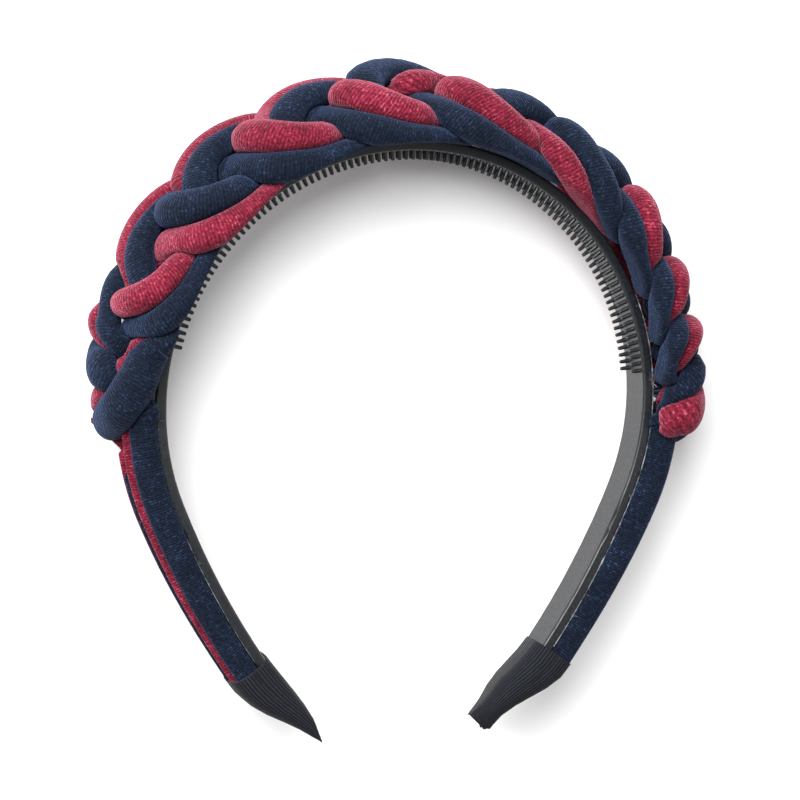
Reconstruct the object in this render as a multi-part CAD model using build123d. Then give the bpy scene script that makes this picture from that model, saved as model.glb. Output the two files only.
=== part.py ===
"""Braided velvet headband: a plastic band with two rows of comb teeth, six stuffed
velvet cords braided over it in three pairs, and an elastic sleeve on each tip.

Millimetres. The headband lies on its side, as it does on a table. X runs across it,
Y from its tips to its crown, and Z up from its back edge to its front edge.

A place on the headband is given by three numbers. The arc is measured along the
inner face of the band from the crown, positive to the right. The side is measured
across the band, positive to the front edge. The height is measured outward from the
outer face of the band.

The braid is counted in half loops: at every even number a strand crosses over
another on its way to the front edge, at every odd number on its way to the back.
"""
import os
from collections import namedtuple
from math import ceil, cos, exp, pi, radians, sin

from build123d import *

os.makedirs("parts", exist_ok=True)

# Band
CROWN_RADIUS = 61.0
CROWN_HALF_ANGLE = 112.0
LEG_RADIUS = 200.0
BAND_WIDTH = 11.0
BAND_THICKNESS = 2.8
BAND_EDGE_ROUND = 0.7

# Comb teeth on the inner face, in two rows
TOOTH_PITCH = 1.8
TOOTH_LENGTH = 2.3
TOOTH_ROOT_RADIUS = 0.6
TOOTH_TIP_RADIUS = 0.42
TOOTH_TIP_ROUND = 0.25
TOOTH_SUNK = 0.3
TOOTH_ROW_SIDE = 3.3
TEETH_START_ARC = -81.0
TEETH_END_ARC = 89.0

# Cords: half of the width and height of one cord, where the braid is fullest
CORD_HALF_WIDTH = 3.5
CORD_HALF_HEIGHT = 3.15
# Length of a half loop, in half widths of a cord
HALF_LOOP_PACE = 3.4
# Half loops from one turn of a cord at an edge until it turns there again
REPEAT = 6
# A cord stops weaving over this many half loops
STOP_EASE = 0.5
# Height of a cord above the band, where it lies on the band
LANE_CLEARANCE = 0.3
# Half loops between the sections of a cord, in the braid and on the legs
BRAID_STEP = 0.25
LEG_STEP = 1.5
# Each section is this many arcs
SECTION_ARCS = 4

# The way of a navy cord through the braid, as a sum of waves. Values are in half
# widths of a cord. A burgundy cord goes the same way mirrored, half a repeat later.
Wave = namedtuple("Wave", "order side_cos side_sin rise_cos rise_sin along_cos along_sin")
WEAVE = [
    Wave(0, 0.981, 0.000, 2.446, 0.000, 0.000, 0.000),
    Wave(1, 1.658, 2.819, 0.115, -0.929, -0.637, -0.286),
    Wave(2, 0.110, -0.520, 1.602, 0.450, -1.020, -0.643),
    Wave(3, -0.435, 0.319, 0.006, -0.120, 0.000, 0.000),
    Wave(4, 0.000, 0.000, 0.026, 0.139, 0.000, 0.000),
]

# Where each loop dips under the next one at the front edge
Loop = namedtuple("Loop", "half_loop arc")
LOOPS = [
    Loop(-5.8, -88.0),
    Loop(-3.8, -77.5),
    Loop(-1.8, -58.5),
    Loop(0.2, -38.0),
    Loop(2.2, -17.0),
    Loop(4.2, 5.0),
    Loop(6.2, 29.0),
    Loop(8.2, 50.0),
    Loop(10.2, 66.5),
    Loop(12.2, 79.0),
    Loop(14.2, 89.0),
    Loop(16.2, 98.5),
]
# Arc for a half loop past the last loop on each side
LEFT_PACE = 5.5
RIGHT_PACE = 6.5

# Height of the braid and thickness of its cords along the band, as shares
Fullness = namedtuple("Fullness", "arc height thickness")
FULLNESS = [
    Fullness(-104.0, 0.78, 0.87),
    Fullness(-75.0, 0.90, 0.88),
    Fullness(-50.0, 1.00, 0.96),
    Fullness(0.0, 1.05, 0.94),
    Fullness(50.0, 1.00, 0.95),
    Fullness(75.0, 0.90, 0.90),
    Fullness(104.0, 0.78, 0.90),
]

# How far each strand lags the first one, in half loops
STRAND_LAG = {1: 0, 2: 2, 3: 4}

# Where the two cords of a strand are turned over each other, and back again
Turn = namedtuple("Turn", "strand half_loop span angle side_push rise_push")
TURNS = [
    Turn(3, -3.83, 1.40, 180.0, -0.85, 0.00),
    Turn(3, -1.90, 2.32, -180.0, 0.35, 0.84),
    Turn(1, 4.17, 1.40, 180.0, -0.85, 0.00),
    Turn(1, 6.10, 2.32, -180.0, 0.35, 0.84),
]
# The push of a turn fades over this many half loops
PUSH_REACH = 0.7

# Where a strand stops weaving and where it starts and ends its way to the leg
Ending = namedtuple("Ending", "strand side stop start finish")
ENDINGS = [
    Ending(3, "left", -7.02, -6.29, -7.90),
    Ending(1, "left", -6.03, -6.73, -8.53),
    Ending(2, "left", -6.71, -6.75, -9.10),
    Ending(2, "right", 15.71, 15.46, 16.98),
    Ending(3, "right", 15.55, 14.69, 17.03),
    Ending(1, "right", 15.23, 15.76, 17.96),
]

# The flattened cords on a leg, side by side from the front edge to the back edge
Lane = namedtuple("Lane", "strand colour side centre half_width half_height")
LANES = [
    Lane(3, "navy", "left", 5.45, 1.75, 2.70),
    Lane(3, "burgundy", "left", 2.35, 1.15, 3.20),
    Lane(1, "navy", "left", -0.15, 1.15, 3.40),
    Lane(1, "burgundy", "left", -2.60, 1.10, 3.30),
    Lane(2, "navy", "left", -4.95, 1.05, 3.00),
    Lane(2, "burgundy", "left", -7.15, 0.95, 2.50),
    Lane(2, "navy", "right", 5.45, 1.75, 3.00),
    Lane(2, "burgundy", "right", 2.35, 1.15, 3.20),
    Lane(3, "navy", "right", -0.15, 1.15, 3.30),
    Lane(3, "burgundy", "right", -2.60, 1.10, 3.20),
    Lane(1, "navy", "right", -4.95, 1.05, 3.00),
    Lane(1, "burgundy", "right", -7.15, 0.95, 2.50),
]
# Shares of a lane's width and height that are left at the mouth of the sleeve
LEG_WIDTH_TAPER = 0.80
LEG_HEIGHT_TAPER = 0.90
# Arc where the legs start to taper
LEG_TAPER_ARC = 112.0

# Sleeves: distance from the mouth, inner and outer limit measured from the inner
# face of the band, and width
SLEEVE_MOUTH_ARC = 163.0
SLEEVE_WALL = 0.6
SLEEVE_CORNER_SHARE = 0.2
POCKET_DEPTH = 18.5
# Room between a tip of the band and the end of its pocket
TIP_CLEARANCE = 1.5
CORD_IN_SLEEVE = 7.0
Cuff = namedtuple("Cuff", "distance inner outer width")
CUFFS = [
    Cuff(0.0, -1.0, 10.4, 14.8),
    Cuff(8.0, -1.1, 10.3, 14.8),
    Cuff(15.0, -0.9, 6.6, 13.8),
    Cuff(20.0, -0.6, 4.0, 12.8),
    Cuff(24.0, 0.3, 2.3, 11.4),
]

SIGN = {"left": -1, "right": 1}
CROWN_ARC = CROWN_RADIUS * radians(CROWN_HALF_ANGLE)
BAND_HALF_LENGTH = SLEEVE_MOUTH_ARC + POCKET_DEPTH - TIP_CLEARANCE
UP = Vector(0, 0, 1)


def smooth(share):
    """0 to 1 with an even start and end."""
    share = min(max(share, 0.0), 1.0)
    return share * share * (3 - 2 * share)


def heading(arc):
    """Angle from straight up at which the band faces outward, in radians."""
    if abs(arc) <= CROWN_ARC:
        return arc / CROWN_RADIUS
    turn = radians(CROWN_HALF_ANGLE) + (abs(arc) - CROWN_ARC) / LEG_RADIUS
    return turn if arc > 0 else -turn


def outward(arc):
    return Vector(sin(heading(arc)), cos(heading(arc)), 0)


def along(arc):
    return Vector(cos(heading(arc)), -sin(heading(arc)), 0)


def bend_radius(arc):
    return CROWN_RADIUS if abs(arc) <= CROWN_ARC else LEG_RADIUS


def from_inner_face(arc, side, distance):
    """Point at a distance outward from the inner face of the band."""
    if abs(arc) <= CROWN_ARC:
        centre = Vector(0, -CROWN_RADIUS, 0)
    else:
        last = CROWN_ARC if arc > 0 else -CROWN_ARC
        centre = Vector(0, -CROWN_RADIUS, 0) + outward(last) * (CROWN_RADIUS - LEG_RADIUS)
    return centre + outward(arc) * (bend_radius(arc) + distance) + UP * side


def arc_and_pace(half_loop):
    """Arc at a count of half loops, and the arc of one half loop there."""
    first = LOOPS[0]
    last = LOOPS[-1]
    if half_loop <= first.half_loop:
        return first.arc + (half_loop - first.half_loop) * LEFT_PACE, LEFT_PACE
    if half_loop >= last.half_loop:
        return last.arc + (half_loop - last.half_loop) * RIGHT_PACE, RIGHT_PACE
    paces = [LEFT_PACE]
    for before, after in zip(LOOPS, LOOPS[2:]):
        paces.append((after.arc - before.arc) / (after.half_loop - before.half_loop))
    paces.append(RIGHT_PACE)
    index = max(i for i, loop in enumerate(LOOPS) if loop.half_loop <= half_loop)
    here = LOOPS[index]
    there = LOOPS[index + 1]
    span = there.half_loop - here.half_loop
    u = (half_loop - here.half_loop) / span
    pull = paces[index] * span
    push = paces[index + 1] * span
    rise = there.arc - here.arc
    cubic = pull + push - 2 * rise
    square = 3 * rise - 2 * pull - push
    arc = here.arc + u * (pull + u * (square + u * cubic))
    return arc, (pull + u * (2 * square + u * 3 * cubic)) / span


def arc_of(half_loop):
    return arc_and_pace(half_loop)[0]


def fullness(arc):
    """Height and thickness shares at an arc."""
    if arc <= FULLNESS[0].arc:
        return FULLNESS[0].height, FULLNESS[0].thickness
    for before, after in zip(FULLNESS, FULLNESS[1:]):
        if arc <= after.arc:
            share = smooth((arc - before.arc) / (after.arc - before.arc))
            height = before.height + share * (after.height - before.height)
            return height, before.thickness + share * (after.thickness - before.thickness)
    return FULLNESS[-1].height, FULLNESS[-1].thickness


def find_row(table, **wanted):
    for row in table:
        if all(getattr(row, name) == value for name, value in wanted.items()):
            return row
    raise ValueError(f"no row with {wanted}")


def woven(half_loop):
    """Offset of a navy cord along, to the side and up, in half widths of a cord."""
    total = Vector(0, 0, 0)
    for wave in WEAVE:
        angle = 2 * pi * wave.order * half_loop / REPEAT
        cosines = Vector(wave.along_cos, wave.side_cos, wave.rise_cos)
        sines = Vector(wave.along_sin, wave.side_sin, wave.rise_sin)
        total += cosines * cos(angle) + sines * sin(angle)
    return total


def stopped(half_loop, strand):
    """Half loops with the weaving brought to a stop past both ends of the braid."""
    for side in ("left", "right"):
        stop = find_row(ENDINGS, strand=strand, side=side).stop
        inside = (stop - half_loop) * SIGN[side]
        if inside <= -STOP_EASE:
            return stop
        if inside < STOP_EASE:
            return stop - SIGN[side] * (inside + STOP_EASE) ** 2 / (4 * STOP_EASE)
    return half_loop


def untwisted(strand, half_loop):
    """Offsets of a strand's navy and burgundy cords, side by side."""
    count = half_loop - STRAND_LAG[strand]
    navy = woven(count)
    twin = woven(count + REPEAT / 2)
    return navy, Vector(twin.X, -twin.Y, twin.Z)


def pair(strand, half_loop):
    """Offsets of a strand's two cords, turned over each other where a turn says so."""
    navy, burgundy = untwisted(strand, half_loop)
    angle = 0
    push = Vector(0, 0, 0)
    for turn in TURNS:
        count = half_loop - turn.half_loop
        if turn.strand == strand:
            angle += radians(turn.angle) * smooth(count / turn.span + 0.5)
            fade = exp(-((count / PUSH_REACH) ** 2))
            push += Vector(0, turn.side_push, turn.rise_push) * fade
    nudge = 0.02
    before = untwisted(strand, half_loop - nudge)
    after = untwisted(strand, half_loop + nudge)
    drift = (after[0] + after[1] - before[0] - before[1]) / (4 * nudge)
    way = (drift + Vector(HALF_LOOP_PACE, 0, 0)).normalized()
    middle = (navy + burgundy) / 2 + push
    half = (navy - burgundy) / 2
    turned = half * cos(angle) + way.cross(half) * sin(angle)
    turned += way * (way.dot(half) * (1 - cos(angle)))
    return middle + turned, middle - turned


def station(strand, colour, half_loop):
    """Arc, side and height of a cord's middle, and its three half sizes there."""
    navy, burgundy = pair(strand, stopped(half_loop, strand))
    offset = navy if colour == "navy" else burgundy
    arc, pace = arc_and_pace(half_loop)
    height_share, thickness_share = fullness(arc)
    half_along = pace / HALF_LOOP_PACE
    slip = offset.X * half_along
    side = offset.Y * CORD_HALF_WIDTH
    height = offset.Z * CORD_HALF_HEIGHT * height_share
    half_along *= thickness_share * (CROWN_RADIUS + BAND_THICKNESS + height) / CROWN_RADIUS
    half_side = CORD_HALF_WIDTH * thickness_share
    half_rise = CORD_HALF_HEIGHT * height_share * thickness_share
    for end in ("left", "right"):
        ending = find_row(ENDINGS, strand=strand, side=end)
        progress = (half_loop - ending.start) / (ending.finish - ending.start)
        if progress <= 0:
            continue
        lane = find_row(LANES, strand=strand, colour=colour, side=end)
        reach = SLEEVE_MOUTH_ARC - LEG_TAPER_ARC
        taper = smooth((abs(arc) - LEG_TAPER_ARC) / reach)
        narrow = 1 - taper * (1 - LEG_WIDTH_TAPER)
        low = 1 - taper * (1 - LEG_HEIGHT_TAPER)
        squeeze = smooth(progress / 0.5)
        shift = smooth((progress - 0.1) / 0.6)
        sink = smooth((progress - 0.4) / 0.6)
        lane_height = lane.half_height * low
        half_side += squeeze * (lane.half_width * narrow - half_side)
        half_along += squeeze * (lane.half_width * narrow - half_along)
        half_rise += squeeze * (lane_height - half_rise)
        side += shift * (lane.centre * narrow - side)
        height += sink * (lane_height + LANE_CLEARANCE - height)
        slip *= 1 - sink
    if abs(side) < BAND_WIDTH / 2 + 0.65 * half_side:
        height = max(height, half_rise + LANE_CLEARANCE)
    return Vector(arc + slip, side, height), Vector(half_along, half_side, half_rise)


def cord_section(strand, colour, half_loop):
    """Closed curve around a cord, square to its way."""
    nudge = 0.02
    middle, half = station(strand, colour, half_loop)
    before = station(strand, colour, half_loop - nudge)[0]
    after = station(strand, colour, half_loop + nudge)[0]
    step = after - before
    stretch = 1 + (BAND_THICKNESS + middle.Z) / CROWN_RADIUS
    way = Vector(step.X * stretch / half.X, step.Y / half.Y, step.Z / half.Z).normalized()
    flat = way.cross(Vector(0, 0, 1)).normalized()
    steep = flat.cross(way)
    arc = middle.X
    centre = from_inner_face(arc, middle.Y, BAND_THICKNESS + middle.Z)

    def in_space(direction):
        return (
            along(arc) * (direction.X * half.X)
            + UP * (direction.Y * half.Y)
            + outward(arc) * (direction.Z * half.Z)
        )

    wide = in_space(flat)
    tall = in_space(steep)
    points = []
    for number in range(2 * SECTION_ARCS + 1):
        angle = pi * number / SECTION_ARCS
        points.append(centre + wide * cos(angle) + tall * sin(angle))
    threes = zip(points[::2], points[1::2], points[2::2])
    return Wire([Edge.make_three_point_arc(*three) for three in threes])


def spread(start, end, step):
    """Even counts from start to end, at most a step apart."""
    parts = ceil(abs(end - start) / step)
    return [start + (end - start) * number / parts for number in range(parts + 1)]


def make_cord(strand, colour):
    cord_arc = SLEEVE_MOUTH_ARC + CORD_IN_SLEEVE
    left_leg = find_row(ENDINGS, strand=strand, side="left").finish
    right_leg = find_row(ENDINGS, strand=strand, side="right").finish
    left_tip = LOOPS[0].half_loop - (LOOPS[0].arc + cord_arc) / LEFT_PACE
    right_tip = LOOPS[-1].half_loop + (cord_arc - LOOPS[-1].arc) / RIGHT_PACE
    counts = spread(left_tip, left_leg, LEG_STEP)
    counts += spread(left_leg, right_leg, BRAID_STEP)[1:]
    counts += spread(right_leg, right_tip, LEG_STEP)[1:]
    sections = [cord_section(strand, colour, count) for count in counts]
    return Solid.make_loft(sections, ruled=True)


def band_outline():
    """The band's shape seen from its front edge."""
    stops = [-BAND_HALF_LENGTH, -CROWN_ARC, CROWN_ARC, BAND_HALF_LENGTH]
    edges = []
    for distance in (0.0, BAND_THICKNESS):
        for start, end in zip(stops, stops[1:]):
            arcs = (start, (start + end) / 2, end)
            edges.append(ThreePointArc(*[from_inner_face(arc, 0, distance) for arc in arcs]))
    for arc in (stops[0], stops[-1]):
        tip = from_inner_face(arc, 0, 0)
        edges.append(Line(tip, from_inner_face(arc, 0, BAND_THICKNESS)))
    return make_face(Wire(edges))


def make_tooth():
    """One tooth at the origin, pointing up."""
    length = TOOTH_LENGTH + TOOTH_SUNK
    tooth = Solid.make_cone(TOOTH_ROOT_RADIUS, TOOTH_TIP_RADIUS, length)
    tip = tooth.edges().sort_by(Axis.Z)[-1]
    return tooth.fillet(TOOTH_TIP_ROUND, [tip])


def make_band():
    band = extrude(band_outline(), BAND_WIDTH / 2, both=True).solid()
    by_height = band.edges().group_by(Axis.Z)
    band = band.fillet(BAND_EDGE_ROUND, by_height[0] + by_height[-1])
    tooth = make_tooth()
    teeth = []
    for arc in spread(TEETH_START_ARC, TEETH_END_ARC, TOOTH_PITCH):
        for side in (-TOOTH_ROW_SIDE, TOOTH_ROW_SIDE):
            root = from_inner_face(arc, side, TOOTH_SUNK)
            place = Plane(origin=root, x_dir=UP, z_dir=outward(arc) * -1)
            teeth.append(place.location * tooth)
    return band.fuse(*teeth)


def cuff_at(distance):
    """The sleeve's limits at a distance from its mouth."""
    for before, after in zip(CUFFS, CUFFS[1:]):
        if distance <= after.distance:
            share = (distance - before.distance) / (after.distance - before.distance)
            mix = [a + share * (b - a) for a, b in zip(before, after)]
            return Cuff(*mix)
    return CUFFS[-1]


def cuff_wire(cuff, side, inset):
    """Rounded section of a sleeve, drawn in by the inset."""
    arc = SIGN[side] * (SLEEVE_MOUTH_ARC + cuff.distance)
    middle = from_inner_face(arc, 0, (cuff.inner + cuff.outer) / 2)
    tall = cuff.outer - cuff.inner - 2 * inset
    wide = cuff.width - 2 * inset
    plane = Plane(origin=middle, x_dir=UP, z_dir=along(arc))
    section = plane * RectangleRounded(wide, tall, SLEEVE_CORNER_SHARE * tall)
    return section.wire()


def make_sleeve(side):
    body = Solid.make_loft([cuff_wire(cuff, side, 0) for cuff in CUFFS])
    rows = [cuff for cuff in CUFFS if cuff.distance < POCKET_DEPTH]
    rows.append(cuff_at(POCKET_DEPTH))
    pocket = Solid.make_loft([cuff_wire(cuff, side, SLEEVE_WALL) for cuff in rows])
    return body.cut(pocket)


pieces = {"band": make_band()}
for strand in STRAND_LAG:
    for colour in ("navy", "burgundy"):
        pieces[f"{colour}_cord_{strand}"] = make_cord(strand, colour)
for side in SIGN:
    pieces[f"end_sleeve_{side}"] = make_sleeve(side)

# The box of the whole headband stands on the origin
whole = Compound(list(pieces.values())).bounding_box()
middle = whole.center()
shift = Location((-middle.X, -middle.Y, -whole.min.Z))
for name, piece in pieces.items():
    solid = piece.moved(shift).solid()
    solid.label = name
    export_step(solid, f"parts/{name}.step")
    print(f"{name}: {solid.volume:.1f} mm3, valid {solid.is_valid}")
print("overall size:", whole.size)
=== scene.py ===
"""Looks of a braided velvet headband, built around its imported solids.

Lengths in the tables and in the shape functions are millimetres, as a headband maker
would write them, and become metres where a mesh is made. The headband lies on its
side: X across it, Y from its tips to its crown, Z up from its back edge to its front
edge. A place on it has an arc, measured along the inner face of the band from the
crown, positive to the right, a side, positive to the front edge, and a height above
the outer face of the band.

The braid is counted in half loops: at every even number a strand crosses over another
on its way to the front edge, at every odd number on its way to the back.
"""
from collections import namedtuple
from math import cos, pi, radians, sin

import bpy
import numpy as np
from mathutils import Matrix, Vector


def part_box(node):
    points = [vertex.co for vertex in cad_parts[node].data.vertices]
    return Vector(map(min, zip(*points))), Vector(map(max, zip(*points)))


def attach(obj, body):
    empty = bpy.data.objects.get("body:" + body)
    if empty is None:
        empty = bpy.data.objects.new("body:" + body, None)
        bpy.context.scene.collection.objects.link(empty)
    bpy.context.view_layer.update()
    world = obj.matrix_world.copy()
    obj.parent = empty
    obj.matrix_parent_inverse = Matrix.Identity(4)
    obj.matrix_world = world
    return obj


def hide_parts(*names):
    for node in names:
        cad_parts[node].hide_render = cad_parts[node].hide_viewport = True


bl_info = {
    "name": "Braided Velvet Headband",
    "version": (1, 0, 0),
    "blender": (4, 5, 0),
    "location": "View3D > Sidebar > Headband",
    "description": "Stuffed velvet braid, comb band and ribbed sleeves of a headband",
    "category": "Object",
}

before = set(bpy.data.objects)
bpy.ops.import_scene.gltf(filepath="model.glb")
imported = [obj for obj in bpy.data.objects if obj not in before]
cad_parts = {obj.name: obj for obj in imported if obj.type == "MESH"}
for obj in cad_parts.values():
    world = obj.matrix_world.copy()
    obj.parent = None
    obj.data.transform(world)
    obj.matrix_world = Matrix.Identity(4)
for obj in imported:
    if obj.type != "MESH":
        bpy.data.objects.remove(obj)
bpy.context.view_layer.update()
band_low, band_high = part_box("band")

MM = 0.001
BODY = "root"

# The way of a navy cord through the braid, as a sum of waves, in half widths of a cord.
# A burgundy cord goes the same way mirrored, half a repeat later.
Wave = namedtuple("Wave", "order side_cos side_sin rise_cos rise_sin along_cos along_sin")
WEAVE = [
    Wave(0, 0.981, 0.000, 2.446, 0.000, 0.000, 0.000),
    Wave(1, 1.658, 2.819, 0.115, -0.929, -0.637, -0.286),
    Wave(2, 0.110, -0.520, 1.602, 0.450, -1.020, -0.643),
    Wave(3, -0.435, 0.319, 0.006, -0.120, 0.000, 0.000),
    Wave(4, 0.000, 0.000, 0.026, 0.139, 0.000, 0.000),
]
# Where in a repeat a cord departs from that even way, over how many half loops to each
# side, and how far to the side and up, in half widths of a cord
Bend = namedtuple("Bend", "colour half_loop reach side rise")
BENDS = [
    Bend("navy", 0.10, 1.0, -1.4, -1.5),
    Bend("navy", 3.90, 1.1, 2.2, 0.8),
    Bend("navy", 4.50, 0.9, 0.3, 1.0),
    Bend("burgundy", 4.10, 1.2, 1.2, 3.1),
]
# Half loops from one turn of a cord at an edge until it turns there again
REPEAT = 6
# Length of a half loop in half widths of a cord, where the braid isn't drawn out
HALF_LOOP_PACE = 3.4
# How far to the side a cord turns, in half widths of a cord
EDGE_SIDE = 3.2
# A cord stops weaving over this many half loops
STOP_EASE = 0.5

# Where each loop dips under the next one at the front edge
Loop = namedtuple("Loop", "half_loop arc")
LOOPS = [
    Loop(-5.8, -88.0),
    Loop(-3.8, -77.5),
    Loop(-1.8, -58.5),
    Loop(0.2, -38.0),
    Loop(2.2, -17.0),
    Loop(4.2, 5.0),
    Loop(6.2, 29.0),
    Loop(8.2, 50.0),
    Loop(10.2, 66.5),
    Loop(12.2, 79.0),
    Loop(14.2, 89.0),
    Loop(16.2, 98.5),
]
# Arc for a half loop past the last loop on each side
LEFT_PACE = 5.5
RIGHT_PACE = 6.5

# Height of the braid and thickness of its cords along the band, as shares
Fullness = namedtuple("Fullness", "arc height thickness")
FULLNESS = [
    Fullness(-104.0, 0.74, 0.90),
    Fullness(-75.0, 0.82, 0.96),
    Fullness(-50.0, 0.88, 1.02),
    Fullness(0.0, 0.88, 1.04),
    Fullness(50.0, 0.87, 1.03),
    Fullness(75.0, 0.80, 0.98),
    Fullness(104.0, 0.73, 0.94),
]

# How far each strand lags the first one, in half loops
STRAND_LAG = {1: 0, 2: 2, 3: 4}

# Where the two cords of a strand are turned over each other, and back again
Turn = namedtuple("Turn", "strand half_loop span angle")
TURNS = [
    Turn(3, -3.90, 1.20, 180.0),
    Turn(3, 0.35, 1.00, 180.0),
    Turn(1, 3.00, 1.60, 180.0),
    Turn(1, 7.50, 1.60, -180.0),
]

# Where a strand stops weaving and where it starts and ends its way to the leg
Ending = namedtuple("Ending", "strand side stop start finish")
ENDINGS = [
    Ending(3, "left", -7.02, -6.29, -7.90),
    Ending(1, "left", -6.03, -6.73, -8.53),
    Ending(2, "left", -6.71, -6.75, -9.10),
    Ending(2, "right", 15.71, 15.46, 16.98),
    Ending(3, "right", 15.55, 14.69, 17.03),
    Ending(1, "right", 15.23, 15.76, 17.96),
]

# The flattened cords on a leg, side by side from the front edge to the back edge
Lane = namedtuple("Lane", "strand colour side centre half_width half_height")
LANES = [
    Lane(3, "navy", "left", 5.45, 1.75, 2.70),
    Lane(3, "burgundy", "left", 2.35, 1.15, 3.20),
    Lane(1, "navy", "left", -0.15, 1.15, 3.40),
    Lane(1, "burgundy", "left", -2.60, 1.10, 3.30),
    Lane(2, "navy", "left", -4.95, 1.05, 3.00),
    Lane(2, "burgundy", "left", -7.15, 0.95, 2.50),
    Lane(2, "navy", "right", 5.45, 1.75, 3.00),
    Lane(2, "burgundy", "right", 2.35, 1.15, 3.20),
    Lane(3, "navy", "right", -0.15, 1.15, 3.30),
    Lane(3, "burgundy", "right", -2.60, 1.10, 3.20),
    Lane(1, "navy", "right", -4.95, 1.05, 3.00),
    Lane(1, "burgundy", "right", -7.15, 0.95, 2.50),
]

# Parts of a cord's way to its lane in which it is squeezed, moved aside and laid down
SQUEEZED = (0.0, 0.5)
MOVED = (0.1, 0.7)
LAID = (0.4, 1.0)
# From this arc to the sleeve the lanes get narrower and lower, by these shares
LEG_TAPER_ARC = 112.0
LANE_NARROWS = 0.20
LANE_LOWERS = 0.10
# Room between the outer face of the band and a lane, in mm
LANE_CLEARANCE = 0.3

# Where the last loops of the braid lie, from the braid to the leg
Wrap = namedtuple("Wrap", "half_loop arc side height half_width")
WRAPS = {
    ("navy_cord_1", "left"): [
        Wrap(-4.2, -78.0, 11.0, 2.0, 3.4),
        Wrap(-5.0, -84.5, 9.6, 4.2, 4.0),
        Wrap(-5.8, -90.0, 8.6, 5.8, 4.4),
        Wrap(-6.6, -95.0, 4.6, 8.0, 4.5),
        Wrap(-7.3, -98.0, -2.8, 8.6, 4.2),
        Wrap(-8.0, -100.0, -9.0, 6.4, 3.6),
        Wrap(-8.6, -102.5, -8.6, 3.6, 2.4),
        Wrap(-9.2, -107.0, -3.5, 3.4, 1.5),
        Wrap(-9.8, -110.0, -0.15, 3.6, 1.15),
    ],
    ("navy_cord_2", "left"): [
        Wrap(-5.5, -81.5, -9.0, 5.5, 3.1),
        Wrap(-6.0, -83.5, -11.0, 8.5, 3.6),
        Wrap(-6.5, -87.0, -7.0, 10.2, 3.9),
        Wrap(-7.0, -89.0, -0.5, 10.6, 4.0),
        Wrap(-7.5, -91.5, 3.2, 7.4, 3.0),
        Wrap(-8.0, -95.0, 1.0, 4.5, 2.0),
        Wrap(-8.6, -100.0, -4.5, 3.4, 1.4),
        Wrap(-9.2, -107.0, -4.95, 3.2, 1.05),
    ],
    ("burgundy_cord_1", "left"): [
        Wrap(-4.5, -80.0, 6.8, 4.5, 3.0),
        Wrap(-5.2, -85.5, 4.2, 6.0, 3.0),
        Wrap(-6.0, -91.0, 1.0, 8.4, 3.4),
        Wrap(-6.7, -95.0, -4.5, 9.5, 3.4),
        Wrap(-7.4, -98.5, -9.0, 7.0, 3.0),
        Wrap(-8.2, -102.0, -7.0, 3.6, 1.8),
        Wrap(-9.0, -106.0, -2.6, 3.4, 1.1),
    ],
    ("navy_cord_3", "left"): [
        Wrap(-4.8, -82.0, 0.0, 10.0, 3.2),
        Wrap(-5.4, -85.0, 4.0, 5.0, 2.8),
        Wrap(-6.2, -89.5, 5.2, 2.8, 2.0),
        Wrap(-7.2, -96.0, 5.45, 2.9, 1.75),
    ],
    ("burgundy_cord_3", "left"): [
        Wrap(-5.4, -84.0, -4.0, 8.8, 3.2),
        Wrap(-6.0, -86.5, 0.0, 5.0, 2.6),
        Wrap(-6.6, -91.0, 2.2, 3.4, 1.4),
        Wrap(-7.4, -97.0, 2.35, 3.4, 1.15),
    ],
    ("burgundy_cord_2", "left"): [
        Wrap(-5.8, -83.0, -13.0, 2.5, 3.1),
        Wrap(-6.5, -88.0, -11.0, 5.5, 2.8),
        Wrap(-7.2, -93.0, -9.0, 4.6, 2.0),
        Wrap(-8.0, -100.0, -7.15, 2.9, 0.95),
    ],
    ("burgundy_cord_2", "right"): [
        Wrap(13.4, 90.0, -8.0, 5.0, 3.2),
        Wrap(14.0, 92.0, -5.0, 8.6, 4.4),
        Wrap(14.6, 95.5, 2.5, 8.8, 5.2),
        Wrap(15.2, 98.5, 8.2, 5.6, 5.4),
        Wrap(15.8, 101.0, 7.6, 3.6, 3.6),
        Wrap(16.4, 104.0, 4.0, 3.2, 1.8),
        Wrap(17.0, 107.5, 2.35, 3.3, 1.15),
    ],
    ("navy_cord_2", "right"): [
        Wrap(13.9, 87.5, 5.5, 10.5, 3.4),
        Wrap(14.5, 91.0, 9.5, 7.8, 3.4),
        Wrap(15.1, 94.5, 9.5, 4.2, 3.0),
        Wrap(15.7, 98.5, 6.5, 2.8, 2.0),
        Wrap(16.4, 103.5, 5.45, 3.0, 1.75),
    ],
}
# Half loops over which a cord goes over to the rows of a wrap
WRAP_EASE = 0.35
# Half height of a cord in a wrap, as a share of its half width
WRAP_FLATNESS = 0.85

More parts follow.
